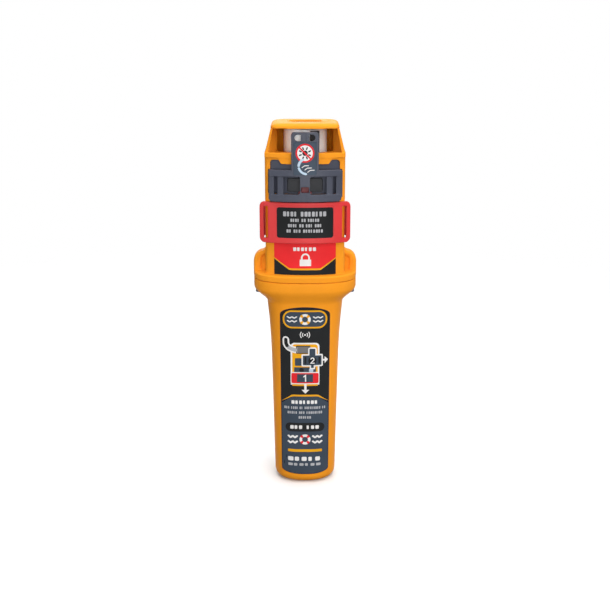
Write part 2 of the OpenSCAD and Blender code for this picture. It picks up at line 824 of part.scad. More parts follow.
// Seen from the side: the side walls fall away towards their rear edges
module slider_profile() {
  rotate([0, 0, 90]) through_y(-20, 20) polygon([[-20, slider_z0], [cheek_y, slider_z0],
    [side_y, slider_z0 + cheek_fall], [side_y, slider_z1 - cheek_fall], [cheek_y, slider_z1],
    [-20, slider_z1]]);
}

module lock_slider() {
  mid = (slider_z0 + slider_z1) / 2;
  front_r = slider_r + slider_t;
  color(red) difference() {
    union() {
      bowed(slider_r, front_r) slider_outline();
      // Side walls and the lips that run in the neck's grooves
      intersection() {
        translate([0, bow_c, slider_z0]) cylinder(r = front_r, h = slider_h, $fn = 180);
        through_y(-20, side_y) slider_outline();
        for (side = [0, 1]) mirror([side, 0, 0])
          box(side_x, -20, slider_z0, slider_w / 2, side_y, slider_z1);
        slider_profile();
      }
      for (side = [0, 1]) mirror([side, 0, 0]) box(lip_x, lip_y, slider_z0 + cheek_fall,
        side_x + 0.3, side_y, slider_z1 - cheek_fall);
      // Tongue behind the clip's stem
      bowed(slider_r, slider_r + tongue_t) {
        rounded_box(-2.35, slider_z1 - 2, 2.35, 113.3, 0.4);
        rounded_box(-1.35, slider_z1 - 2, 1.35, 115.4, 0.4);
      }
    }
    for (side = [0, 1]) mirror([side, 0, 0]) through_y(-20, -8.6)
      rounded_box(slot_x, mid - slot_h / 2, slot_x + slot_w, mid + slot_h / 2, 0.3);
    bowed(front_r - 0.45, front_r + 1) slider_label_outline(gap, gap);
    bowed(front_r - 0.2, front_r + 1) slider_label_outline(0.35, 0.7);
  }
}

module slider_label() {
  front_r = slider_r + slider_t - 0.45;
  color(ink) bowed(front_r, front_r + label_t) slider_label_outline();
}

// ---- Labels ----

module neck_label() {
  half = 11.2;
  z0 = flange_top + 0.05;
  z1 = 96.4;
  color(red) bowed(bow_r + 0.01, bow_r + label_t)
    translate([-half, z0]) square([2 * half, z1 - z0]);
}

// A sheet on the handle. u runs from -1 to 1 across it, v from 0 to 1 up it.
label_z0 = 5.3;
label_z1 = 67.3;
label_low = 8.9;
label_high = 9.25;
function label_bottom(u) = label_z0 - 1.6 * (1 - u * u);
function label_top(u) = label_z1 + 3.3 * pow(1 - pow(abs(u), 2.4), 1 / 2.4);
function label_point(u, v, lift) = let (
  z = label_bottom(u) + v * (label_top(u) - label_bottom(u)),
  x = u * (label_low + (label_high - label_low) * (z - label_z0) / (label_z1 - label_z0)))
  [x, -face_d(x, z) - lift, z];

module handle_sheet(columns = 16, rows = 14) {
  n = columns + 1;
  layer = n * (rows + 1);
  points = [for (lift = [0.05, label_t], j = [0 : rows], i = [0 : columns])
    label_point(-cos(180 * i / columns), j / rows, lift)];
  faces = [for (j = [0 : rows - 1], i = [0 : columns - 1])
    let (a = j * n + i, b = a + 1, c = a + n, d = c + 1)
    each [[a, b, c], [b, d, c], [a + layer, c + layer, b + layer],
      [b + layer, c + layer, d + layer]]];
  rim = concat([for (i = [0 : columns]) i], [for (j = [1 : rows]) j * n + columns],
    [for (i = [columns - 1 : -1 : 0]) rows * n + i], [for (j = [rows - 1 : -1 : 1]) j * n]);
  walls = [for (i = [0 : len(rim) - 1]) let (a = rim[i], b = rim[(i + 1) % len(rim)])
    each [[a, a + layer, b], [b, a + layer, b + layer]]];
  polyhedron(points, concat(faces, walls), convexity = 4);
}

module front_label() {
  color(ink) handle_sheet();
}

module rear_label() {
  color([0.28, 0.33, 0.40]) mirror([0, 1, 0]) handle_sheet();
}

lower_housing();
upper_housing();
flange_gasket();
housing_screws();
top_cap();
strobe_lens();
strobe_led();
strobe_board();
strobe_leads();
antenna_drum();
antenna_tape();
tape_end();
drum_screw();
feed_pin();
feed_grommet();
sensor_panel();
sensor_cover();
button_panel();
power_button();
button_seal();
indicator_window();
status_led();
switch_board();
dome_switch();
magnet_sensor();
board_header();
main_board();
board_chips();
radio_shield();
radio_chips();
satellite_antenna();
board_screws();
lower_cell();
upper_cell();
cell_strap();
battery_sleeve();
battery_tabs();
battery_foam();
near_field_coil();
release_clip();
clip_label();
clip_magnet();
lock_slider();
slider_label();
neck_label();
front_label();
rear_label();
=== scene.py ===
"""Looks of a hand-held emergency position beacon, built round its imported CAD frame.

Lengths inside the drawing functions are millimetres, and meshes are scaled to
metres as they are made. The front faces -Y and +Z runs up the beacon.
"""
import json
import math

import bmesh
import bpy
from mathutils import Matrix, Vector
from mathutils.bvhtree import BVHTree
from mathutils.kdtree import KDTree


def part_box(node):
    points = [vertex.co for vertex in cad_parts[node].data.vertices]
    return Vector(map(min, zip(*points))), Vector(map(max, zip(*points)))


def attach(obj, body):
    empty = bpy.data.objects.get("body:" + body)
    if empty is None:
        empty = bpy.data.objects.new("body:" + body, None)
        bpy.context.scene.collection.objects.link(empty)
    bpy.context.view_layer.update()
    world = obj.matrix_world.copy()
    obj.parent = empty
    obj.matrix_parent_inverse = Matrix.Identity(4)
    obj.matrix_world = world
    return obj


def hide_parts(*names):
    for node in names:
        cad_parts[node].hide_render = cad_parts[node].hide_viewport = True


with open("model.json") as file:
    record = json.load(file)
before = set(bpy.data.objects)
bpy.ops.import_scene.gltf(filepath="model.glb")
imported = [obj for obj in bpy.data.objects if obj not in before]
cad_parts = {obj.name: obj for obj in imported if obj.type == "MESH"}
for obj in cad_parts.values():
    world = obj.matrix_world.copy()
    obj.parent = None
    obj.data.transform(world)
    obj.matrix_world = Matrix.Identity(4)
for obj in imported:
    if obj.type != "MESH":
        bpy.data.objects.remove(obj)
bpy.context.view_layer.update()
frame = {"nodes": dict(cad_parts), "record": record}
MM = 0.001
JOINTS = {j["name"]: j for j in frame["record"]["behaviour"]["joints"]}
BOW_Y = JOINTS["clip_release"]["pos_m"][1] / MM     # axis of the curved front
BEVEL_SAMPLES = 6                # rays that soften an edge in a shader


# ---- Material nodes ----

def new_material(name):
    """A node material, with its tree and its main shader."""
    material = bpy.data.materials.new(name)
    material.use_nodes = True
    return material, material.node_tree, material.node_tree.nodes["Principled BSDF"]


def add(tree, kind, inputs, **settings):
    """Adds a node; an input may be a value or another node's output."""
    node = tree.nodes.new("ShaderNode" + kind)
    for key, value in settings.items():
        setattr(node, key, value)
    for key, value in inputs.items():
        if isinstance(value, bpy.types.NodeSocket):
            tree.links.new(value, node.inputs[key])
        else:
            node.inputs[key].default_value = value
    return node


def place_on(tree, kind="Object"):
    """Where a point lies on the object, or with Generated which way the world's ray goes."""
    return add(tree, "TexCoord", {}).outputs[kind]


def noise(tree, scale, detail=2, stretch=(1, 1, 1)):
    """Noise fixed to the object; a larger stretch makes it finer along that axis."""
    spread = add(tree, "Mapping", {"Vector": place_on(tree), "Scale": stretch}).outputs[0]
    return add(tree, "TexNoise", {"Vector": spread, "Scale": scale, "Detail": detail}).outputs[0]


def remap(tree, value, low, high, start=0.3, stop=0.7):
    """Spreads a value between start and stop over low to high."""
    return add(tree, "MapRange", {"Value": value, "From Min": start, "From Max": stop,
                                  "To Min": low, "To Max": high}).outputs[0]


def mix(tree, share, colour_a, colour_b):
    """Colour a, with a share of colour b."""
    return add(tree, "MixRGB", {"Fac": share, "Color1": colour_a, "Color2": colour_b}).outputs[0]


def product(tree, a, b):
    """The product of two values."""
    return add(tree, "Math", {0: a, 1: b}, operation="MULTIPLY").outputs[0]


def softened(tree, radius):
    """The surface's direction, with edges rounded to a radius."""
    return add(tree, "Bevel", {"Radius": radius * MM}, samples=BEVEL_SAMPLES).outputs[0]


def worn_edges(tree, radius):
    """1 on sharp edges and 0 on faces."""
    soft = softened(tree, radius)
    normal = add(tree, "NewGeometry", {}).outputs["Normal"]
    facing = add(tree, "VectorMath", {0: soft, 1: normal}, operation="DOT_PRODUCT")
    return remap(tree, facing.outputs["Value"], 1, 0, 0.80, 0.995)


def shade(colour, factor):
    """A colour made lighter or darker, with its alpha."""
    return (*(min(1, c * factor) for c in colour), 1)


def varied(tree, colour, scale, detail, dark, light):
    """A colour that drifts between a darker and a lighter shade of itself."""
    drift = remap(tree, noise(tree, scale, detail), 0, 1)
    return mix(tree, drift, shade(colour, dark), shade(colour, light))


def paint(tree, shader, colour, roughness):
    """Gives a shader its colour and its roughness."""
    tree.links.new(colour, shader.inputs["Base Color"])
    tree.links.new(roughness, shader.inputs["Roughness"])


def finish_of(tree, shader, grain, depth, soften=0.2):
    """Fine bumps over softened edges."""
    bump = add(tree, "Bump", {"Height": grain, "Distance": depth * MM, "Strength": 1.0,
                              "Normal": softened(tree, soften)})
    tree.links.new(bump.outputs[0], shader.inputs["Normal"])


def moulded(name, colour, roughness=0.42, grain=2300, depth=0.010, wear=0.3, gloss=0.5):
    """Moulded plastic: spark-eroded grain, slow colour drift, rubbed edges, faint scuffs."""
    material, tree, shader = new_material(name)
    body = varied(tree, colour, 55, 3, 0.93, 1.05)
    speck = remap(tree, noise(tree, 900, 4), 0, 0.10, 0.45, 0.75)
    body = mix(tree, speck, body, shade(colour, 0.80))
    patches = remap(tree, noise(tree, 350, 3), 0, wear)
    rub = product(tree, worn_edges(tree, 0.35), patches)
    pale = (*(0.55 * c + 0.30 for c in colour), 1)
    scuffs = noise(tree, 160, 5, (1, 1, 0.25))
    paint(tree, shader, mix(tree, rub, body, pale),
          remap(tree, scuffs, roughness - 0.06, roughness + 0.09))
    shader.inputs["Specular IOR Level"].default_value = gloss
    finish_of(tree, shader, noise(tree, grain, 3), depth)
    return material


def film(name, colour, roughness=0.38):
    """Printed film: satin, with a faint orange-peel surface and slight handling wear."""
    material, tree, shader = new_material(name)
    paint(tree, shader, varied(tree, colour, 120, 4, 0.92, 1.06),
          remap(tree, noise(tree, 700, 3), roughness - 0.05, roughness + 0.08))
    shader.inputs["Specular IOR Level"].default_value = 0.1
    finish_of(tree, shader, noise(tree, 1500, 2), 0.003, soften=0.02)
    return material


def metal(name, colour, roughness=0.3, stretch=(1, 1, 1), metallic=1.0, depth=0.0008):
    """Metal with rolling or brushing marks across the stretched axis."""
    material, tree, shader = new_material(name)
    marks = noise(tree, 600, 5, stretch)
    paint(tree, shader, varied(tree, colour, 150, 3, 0.88, 1.08),
          remap(tree, marks, roughness - 0.08, roughness + 0.10))
    shader.inputs["Metallic"].default_value = metallic
    finish_of(tree, shader, marks, depth, soften=0.05)
    return material


def rubber(name, colour):
    """Matt rubber with a bloom of dust."""
    material, tree, shader = new_material(name)
    bloom = remap(tree, noise(tree, 260, 5), 0, 0.35)
    paint(tree, shader, mix(tree, bloom, shade(colour, 0.9), shade(colour, 2.2)),
          remap(tree, noise(tree, 900, 3), 0.62, 0.85))
    finish_of(tree, shader, noise(tree, 3200, 2), 0.012)
    return material


def clear(name, colour, roughness, transmission):
    """Clear moulding with soft flow marks."""
    material, tree, shader = new_material(name)
    paint(tree, shader, varied(tree, colour, 220, 3, 0.95, 1.03),
          remap(tree, noise(tree, 500, 3), roughness, roughness + 0.08))
    shader.inputs["Transmission Weight"].default_value = transmission
    shader.inputs["IOR"].default_value = 1.46
    finish_of(tree, shader, noise(tree, 800, 2), 0.003, soften=0.1)
    return material


def circuit(name, colour):
    """Solder mask over a grid of fine tracks."""
    material, tree, shader = new_material(name)
    tracks = add(tree, "TexBrick", {"Vector": place_on(tree), "Scale": 420.0,
                                    "Mortar Size": 0.06})
    lines = remap(tree, tracks.outputs["Fac"], 0, 0.6, 0, 1)
    mask = varied(tree, colour, 200, 3, 0.85, 1.15)
    paint(tree, shader, mix(tree, lines, mask, shade(colour, 1.9)),
          remap(tree, noise(tree, 900, 3), 0.28, 0.42))
    finish_of(tree, shader, lines, 0.02, soften=0.05)
    return material


def foamed(name, colour):
    """Closed-cell foam."""
    material, tree, shader = new_material(name)
    pattern = add(tree, "TexVoronoi", {"Vector": place_on(tree), "Scale": 1800.0})
    cells = pattern.outputs["Distance"]
    walls = remap(tree, cells, 0, 1, 0.1, 0.8)
    paint(tree, shader, mix(tree, walls, shade(colour, 0.6), shade(colour, 1.3)),
          remap(tree, noise(tree, 900, 3), 0.8, 0.95))
    finish_of(tree, shader, cells, 0.06)
    return material


YELLOW = (0.88, 0.315, 0.019)
SLATE = (0.056, 0.062, 0.088)
PALE_PRINT = (0.80, 0.78, 0.77)
AMBER = (0.80, 0.37, 0.012)
BLACK_INK = (0.013, 0.014, 0.015)
BLUE_GREY = (0.044, 0.060, 0.084)

MATERIALS = {
    "yellow_plastic": moulded("yellow_plastic", YELLOW, roughness=0.42, wear=0.16, gloss=0.05),
    "slate_plastic": moulded("slate_plastic", SLATE, roughness=0.44, wear=0.25, gloss=0.30),
    "dark_plastic": moulded("dark_plastic", (0.022, 0.023, 0.027), roughness=0.5, gloss=0.3),
    "red_plastic": moulded("red_plastic", (0.64, 0.032, 0.034), roughness=0.38, wear=0.16,
                           gloss=0.35),
    "black_rubber": rubber("black_rubber", (0.02, 0.02, 0.021)),
    "screw_steel": metal("screw_steel", (0.12, 0.13, 0.15), 0.35),
    "tape_steel": metal("tape_steel", (0.84, 0.93, 1.0), 0.34, (1, 1, 9), 0.12, 0.0004),
    "clear_lens": clear("clear_lens", (1.0, 0.62, 0.22), 0.06, 0.8),
    "blue_window": clear("blue_window", (0.42, 0.66, 0.84), 0.25, 0.35),
    "white_led": moulded("white_led", (0.84, 0.82, 0.72), roughness=0.3, depth=0.003),
    "circuit_board": circuit("circuit_board", (0.012, 0.11, 0.05)),
    "chip_black": moulded("chip_black", (0.022, 0.022, 0.025), roughness=0.55, gloss=0.3),
    "shield_metal": metal("shield_metal", (0.66, 0.65, 0.62), 0.28),
    "ceramic": moulded("ceramic", (0.72, 0.65, 0.52), roughness=0.5, grain=1200),
    "gold_pin": metal("gold_pin", (0.85, 0.60, 0.24), 0.22),
    "cell_wrap": film("cell_wrap", (0.05, 0.12, 0.28), 0.3),
    "clear_sleeve": film("clear_sleeve", (0.10, 0.26, 0.46), 0.25),
    "red_wire": moulded("red_wire", (0.55, 0.03, 0.03), roughness=0.35),
    "foam": foamed("foam", (0.08, 0.08, 0.09)),
    "copper": metal("copper", (0.72, 0.34, 0.18), 0.3),
    "clip_print": film("clip_print", (0.058, 0.078, 0.108)),
    "slider_print": film("slider_print", BLACK_INK),
    "neck_print": film("neck_print", (0.80, 0.026, 0.030)),
    "handle_print": film("handle_print", (0.006, 0.011, 0.024)),
    "rear_print": film("rear_print", BLUE_GREY),
}
INKS = {
    "white": film("white_ink", PALE_PRINT, 0.42),
    "grey": film("grey_ink", (0.42, 0.42, 0.44), 0.42),
    "steel": film("steel_ink", (0.17, 0.165, 0.165), 0.42),
    "black": film("black_ink", BLACK_INK, 0.42),
    "slate": film("slate_ink", BLUE_GREY, 0.42),
    "red": film("red_ink", (0.72, 0.024, 0.032), 0.42),
    "amber": film("amber_ink", AMBER, 0.42),
    "pale_blue": film("pale_blue_ink", (0.50, 0.62, 0.74), 0.42),
}


TONGUE_SHADE_Z = (109.3, 109.9)        # painted shade: the slider's red darkens between these heights
# colour of the painted shade on the tongue, and the largest share of it over the red
TONGUE_PAINTED_SHADE = (0.055, 0.012, 0.016, 1)
TONGUE_SHADE_SHARE = 0.85


def paint_tongue_shade(material):
    """Paints the clip's shade as a darker red on the slider's tongue above the slider."""
    tree = material.node_tree
    shader = tree.nodes["Principled BSDF"]
    body = shader.inputs["Base Color"].links[0].from_socket
    height = add(tree, "SeparateXYZ", {"Vector": place_on(tree)}).outputs["Z"]
    share = remap(tree, height, 0, TONGUE_SHADE_SHARE, *(z * MM for z in TONGUE_SHADE_Z))
    tree.links.new(mix(tree, share, body, TONGUE_PAINTED_SHADE), shader.inputs["Base Color"])


# painted shade on the slider's tongue
paint_tongue_shade(MATERIALS["red_plastic"])


# ---- Pieces ----

FLAT_TURN = 0.6                  # degrees: flatter edges between faces are merged
ROUNDING_TRIES = 8
PULLED = 0.75                    # share of an edge's size that a rounding may leave its surface
FOLDED = -0.3                    # cosine past which a face counts as folded over
SMALL_FACE = 0.01                # mm2: smaller folded faces don't show
EDGE_SPOTS = 5                   # points along an edge that are tested for faults
ROUND_FACE = 0.995               # cosine above which a face follows the bowed front


def new_piece(name, mesh, body, slot, material, *nodes):
    """Adds a mesh as a piece that rides on a body and may stand for CAD nodes."""
    piece = bpy.data.objects.new(name, mesh)
    bpy.context.scene.collection.objects.link(piece)
    mesh.materials.clear()
    mesh.materials.append(material)
    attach(piece, body)
    if nodes:
        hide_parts(*nodes)
    return piece


def smooth(mesh, angle=38):
    """Smooth shading that keeps edges sharper than the angle."""
    for face in mesh.polygons:
        face.use_smooth = True
    mesh.set_sharp_from_angle(angle=math.radians(angle))


def weigh_normals(piece):
    """Lets large faces hold their own direction next to rounded edges."""
    modifier = piece.modifiers.new("normals", "WEIGHTED_NORMAL")
    modifier.keep_sharp = True
    modifier.weight = 100


def room(edge, face):
    """How far a face reaches from one of its edges."""
    start = edge.verts[0].co
    along = (edge.verts[1].co - start).normalized()
    return max(((v.co - start) - along * along.dot(v.co - start)).length for v in face.verts)


def faults(bm, surface, size):
    """Points where rounding the edges pulled the mesh off its surface or folded it."""
    found = [v.co.copy() for v in bm.verts if surface.find_nearest(v.co)[3] > PULLED * size]
    for face in bm.faces:
        normal = surface.find_nearest(face.calc_center_median())[1]
        if face.normal.dot(normal) < FOLDED and face.calc_area() > SMALL_FACE:
            found += [v.co.copy() for v in face.verts]
    return found


def refined(node, body, size=0.15, corner=40, merge=0.03, reach=0.35):
    """A copy of a CAD node with clean faces and its sharp edges rounded."""
    slot = SLOTS[node]
    clean = bmesh.new()
    clean.from_mesh(frame["nodes"][node].data)
    bmesh.ops.scale(clean, vec=(1 / MM,) * 3, verts=clean.verts)
    bmesh.ops.remove_doubles(clean, verts=clean.verts, dist=merge)
    surface = BVHTree.FromBMesh(clean)
    bmesh.ops.dissolve_limit(clean, angle_limit=math.radians(FLAT_TURN), verts=clean.verts,
                             edges=clean.edges, delimit=set())
    clean.edges.index_update()
    sharp = {e.index: (e.verts[0].co.copy(), e.verts[1].co.copy()) for e in clean.edges
             if e.is_manifold and e.calc_face_angle(0) > math.radians(corner)
             and min(room(e, f) for f in e.link_faces) > 3 * size}
    for attempt in range(ROUNDING_TRIES):
        bm = clean.copy()
        bmesh.ops.bevel(bm, geom=[e for e in bm.edges if e.index in sharp], offset=size,
                        segments=2, profile=0.5, affect="EDGES", clamp_overlap=False)
        bmesh.ops.triangulate(bm, faces=[f for f in bm.faces if len(f.verts) > 4])
        bm.normal_update()
        wrong = faults(bm, surface, size)
        if not wrong:
            break
        spots = KDTree(len(wrong))
        for k, point in enumerate(wrong):
            spots.insert(point, k)
        spots.balance()
        near = set()
        for index, (start, stop) in sharp.items():
            for k in range(EDGE_SPOTS):
                if spots.find(start.lerp(stop, k / (EDGE_SPOTS - 1)))[2] < reach:
                    near.add(index)
        for index in near:
            del sharp[index]
        if attempt < ROUNDING_TRIES - 1:
            bm.free()
    bmesh.ops.scale(bm, vec=(MM,) * 3, verts=bm.verts)
    mesh = bpy.data.meshes.new(node + "_shell")
    bm.to_mesh(mesh)
    bm.free()
    clean.free()
    piece = new_piece(node + "_shell", mesh, body, slot, MATERIALS[slot], node)
    smooth(piece.data)
    weigh_normals(piece)
    return piece


def bow_normals(piece):
    """Shades the faces that follow the bowed front or back as true round faces."""
    graph = bpy.context.evaluated_depsgraph_get()
    mesh = bpy.data.meshes.new_from_object(piece.evaluated_get(graph))
    piece.modifiers.clear()
    normals = [corner.vector.copy() for corner in mesh.corner_normals]
    for face in mesh.polygons:
        for axis_y in (BOW_Y * MM, -BOW_Y * MM):
            out = face.center - Vector((0, axis_y, face.center.z))
            turn = face.normal.dot(out.normalized())
            if abs(turn) > ROUND_FACE:
                for corner in face.loop_indices:
                    point = mesh.vertices[mesh.loops[corner].vertex_index].co
                    out = point - Vector((0, axis_y, point.z))
                    normals[corner] = out.normalized() * math.copysign(1, turn)
    mesh.normals_split_custom_set(normals)
    piece.data = mesh


SLOTS = {s["node"]: s["material_slot"] for s in frame["record"]["subparts"]}
REFINED = {
    "beacon": {"lower_housing": 0.15, "upper_housing": 0.18, "top_cap": 0.15,
               "sensor_panel": 0.15, "button_panel": 0.15, "sensor_cover": 0.12,
               "housing_screws": 0.12, "tape_end": 0.12, "indicator_window": 0.08,
               "strobe_lens": 0.15},
    "clip": {"release_clip": 0.2},
    "slider": {"lock_slider": 0.2},
    "button": {"power_button": 0.15},
}
BOWED = ("upper_housing", "sensor_panel", "button_panel", "sensor_cover", "release_clip",
         "lock_slider")
for body_name, edges in REFINED.items():
    for node_name, edge_size in edges.items():
        shell = refined(node_name, body_name, edge_size)
        if node_name in BOWED:
            bow_normals(shell)


# ---- Wound tape ----

def wound_tape():
    """The steel tape as one spiral strip, turned as its CAD solid is."""
    low, high = (Vector(c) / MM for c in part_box("antenna_tape"))
    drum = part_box("antenna_drum")[1][0] / MM
    outer, thickness, pitch, start = high.x, 0.15, 0.33, -64
    per_turn, gap = 120, 0.1
    turns = (outer - drum - thickness - gap) / pitch
    count = int(turns * per_turn)
    bm = bmesh.new()
    rows = []
    for i in range(count + 1):
        angle = math.radians(start + 360 * i / per_turn)
        radius = outer - pitch * i / per_turn
        ring = []
        for r, z in ((radius, low.z), (radius, high.z), (radius - thickness, high.z),
                     (radius - thickness, low.z)):
            ring.append(bm.verts.new((r * math.cos(angle), r * math.sin(angle), z)))
        rows.append(ring)
    for a, b in zip(rows, rows[1:]):
        for k in range(4):
            bm.faces.new((a[k], b[k], b[(k + 1) % 4], a[(k + 1) % 4]))
    bm.faces.new(rows[0])
    bm.faces.new(rows[-1][::-1])
    bmesh.ops.recalc_face_normals(bm, faces=bm.faces)
    bmesh.ops.scale(bm, vec=(MM,) * 3, verts=bm.verts)
    mesh = bpy.data.meshes.new("wound_tape")
    bm.to_mesh(mesh)
    bm.free()
    new_piece("wound_tape", mesh, "beacon", "tape_steel", MATERIALS["tape_steel"],
              "antenna_tape")
    smooth(mesh)


wound_tape()


# ---- Curved faces that prints lie on ----

def bow_face(radius):
    """Places flat points on the bowed front, at a radius from its upright axis."""
    def place(x, z, lift):
        return Vector((x, BOW_Y - math.sqrt((radius + lift) ** 2 - x * x), z))
    return place


HANDLE_Z = (3.0, 71.0)           # stretch below the flange
HANDLE_W = (23.2, 28.2)          # width and depth at its two ends
HANDLE_D = (20.6, 24.2)
FLARE_START, FLARE_SHARE = 0.52, 0.42    # where the sides start to curve out, and how much
ROUND_FOOT, SQUARER, SQUARER_Z = 2.2, 0.6, 15    # section's power, and its rise over the foot


def handle_depth(x, z):
    """Distance from the handle's middle plane to its face."""
    t = (z - HANDLE_Z[0]) / (HANDLE_Z[1] - HANDLE_Z[0])
    flare = (max(0, t - FLARE_START) / (1 - FLARE_START)) ** 3
    spread = (1 - FLARE_SHARE) * t + FLARE_SHARE * flare
    half_w = (HANDLE_W[0] + (HANDLE_W[1] - HANDLE_W[0]) * spread) / 2
    half_d = (HANDLE_D[0] + (HANDLE_D[1] - HANDLE_D[0]) * t) / 2
    n = ROUND_FOOT + SQUARER * min(1, z / SQUARER_Z)
    return half_d * (1 - (abs(x) / half_w) ** n) ** (1 / n)


def handle_front(x, z, lift):
    """Places flat points on the front of the handle."""
    return Vector((x, -handle_depth(x, z) - lift, z))


def handle_rear(x, z, lift):
    """Places flat points on the back of the handle, seen from behind."""
    return Vector((-x, handle_depth(x, z) + lift, z))


# ---- Flat outlines, as closed loops of x, z ----

def arc(cx, cz, r, start, stop, count=16):
    """Points round a centre, between two angles in degrees."""
    return [(cx + r * math.cos(math.radians(start + (stop - start) * i / count)),
             cz + r * math.sin(math.radians(start + (stop - start) * i / count)))
            for i in range(count + 1)]


def disc(cx, cz, r, count=48):
    """Circle."""
    return arc(cx, cz, r, 0, 360, count)[:-1]


def rounded(x0, z0, x1, z1, r, count=5):
    """Rectangle with round corners."""
    return (arc(x1 - r, z1 - r, r, 0, 90, count) + arc(x0 + r, z1 - r, r, 90, 180, count)
            + arc(x0 + r, z0 + r, r, 180, 270, count) + arc(x1 - r, z0 + r, r, 270, 360, count))


def stroke(points, width, caps=6):
    """A line of even width along the points, with round ends."""
    half = width / 2
    spots = [Vector(p) for p in points]
    left, right = [], []
    for i, spot in enumerate(spots):
        before = spot - spots[i - 1] if i else spots[1] - spot
        after = spots[i + 1] - spot if i < len(spots) - 1 else before
        along = (before.normalized() + after.normalized()).normalized()
        reach = half / max(0.5, along.dot(after.normalized()))
        side = Vector((-along.y, along.x)) * reach
        left.append(tuple(spot + side))
        right.append(tuple(spot - side))
    heading = [math.degrees(math.atan2(*reversed(v))) for v in
               (spots[0] - spots[1], spots[-1] - spots[-2])]
    start_cap = arc(*spots[0], half, heading[0] - 90, heading[0] + 90, caps)
    end_cap = arc(*spots[-1], half, heading[1] - 90, heading[1] + 90, caps)
    return right[1:-1] + end_cap + left[1:-1][::-1] + start_cap


def arrow(x, z, dx, dz, length, shaft, head, head_length):
    """Arrow from x, z along the unit direction dx, dz."""
    side = [(0, shaft / 2), (length - head_length, shaft / 2), (length - head_length, head / 2),
            (length, 0)]
    outline = side + [(u, -v) for u, v in side[-2::-1]]
    return [(x + u * dx - v * dz, z + u * dz + v * dx) for u, v in outline]


def wave(x0, x1, z, swing, crests, width):
    """Wavy line from x0 to x1."""
    per_crest = 12
    count = per_crest * crests
    return stroke([(x0 + (x1 - x0) * k / count, z + swing * math.cos(2 * math.pi * k / per_crest))
                   for k in range(count + 1)], width)


def word_row(z, height, width, words):
    """Small rounded blocks where printed words would be: one count for each word."""
    space, rounding = 0.75, 0.22
    pitch = width / (sum(words) + space * (len(words) - 1))
    rhythm = (0.80, 0.62, 0.74, 0.50, 0.70)
    x = -width / 2
    blocks = []
    for word in words:
        for _ in range(word):
            wide = pitch * rhythm[len(blocks) % len(rhythm)]
            corner = min(wide, height) * rounding
            blocks.append(rounded(x, z - height / 2, x + wide, z + height / 2, corner, 2))
            x += pitch
        x += pitch * space
    return blocks


# ---- Prints: thin closed solids laid on a curved face ----

SHEET = (0.01, 0.14)             # a label's sheet: heights of its back and front on the face
INK_BACK = 0.13                  # back of every printed layer, inside the sheet
INK_FRONT, INK_STEP = 0.142, 0.01    # front of layer n is INK_FRONT + n * INK_STEP
CUTS = (0.75, 3.0)               # spacing of the cuts that let a print bend, across and up
MERGE = 0.0005
LABEL_THICKNESS = 0.15


def printed(name, loops, face, layer, body, slot, material, *nodes):
    """Lays flat loops on a face; a loop inside another is a hole. Layer 0 is the sheet."""
    flat = bpy.data.curves.new(name, "CURVE")
    flat.dimensions = "2D"
    flat.fill_mode = "BOTH"
    flat.extrude = 0.5
    for loop in loops:
        spline = flat.splines.new("POLY")
        spline.points.add(len(loop) - 1)
        for point, (x, z) in zip(spline.points, loop):
            point.co = (x, z, 0, 1)
        spline.use_cyclic_u = True
    drawn = bpy.data.objects.new(name + "_outline", flat)
    mesh = bpy.data.meshes.new_from_object(drawn)
    bpy.data.objects.remove(drawn)
    bpy.data.curves.remove(flat)
    low, high = SHEET if layer == 0 else (INK_BACK, INK_FRONT + INK_STEP * layer)
    bm = bmesh.new()
    bm.from_mesh(mesh)
    bmesh.ops.remove_doubles(bm, verts=bm.verts, dist=MERGE)
    for axis, pitch in enumerate(CUTS):
        spread = [v.co[axis] for v in bm.verts]
        normal = Vector((1 - axis, axis, 0))
        for i in range(math.ceil(min(spread) / pitch), math.floor(max(spread) / pitch) + 1):
            bmesh.ops.bisect_plane(bm, geom=bm.verts[:] + bm.edges[:] + bm.faces[:],
                                   dist=MERGE, plane_co=normal * (i * pitch), plane_no=normal)
    for v in bm.verts:
        v.co = face(v.co.x, v.co.y, low + (high - low) * (v.co.z + 0.5)) * MM
    bmesh.ops.recalc_face_normals(bm, faces=bm.faces)
    bm.to_mesh(mesh)
    bm.free()
    piece = new_piece(name, mesh, body, slot, material, *nodes)
    smooth(mesh)
    return piece


def layers_on(label, face, body, slot):
    """A function that prints one layer on a label."""
    def lay(name, loops, layer, ink):
        printed("%s_%s" % (label, name), loops, face, layer, body, slot, INKS[ink])
    return lay


def bowed_label(node):
    """The face that a label on the bowed front lies on, its half width, foot and top."""
    low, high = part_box(node)
    face = bow_face(BOW_Y - low[1] / MM - LABEL_THICKNESS)
    return face, high[0] / MM, low[2] / MM, high[2] / MM


# ---- Release clip's label: a lamp in a red ring, and marks of a pulling move ----

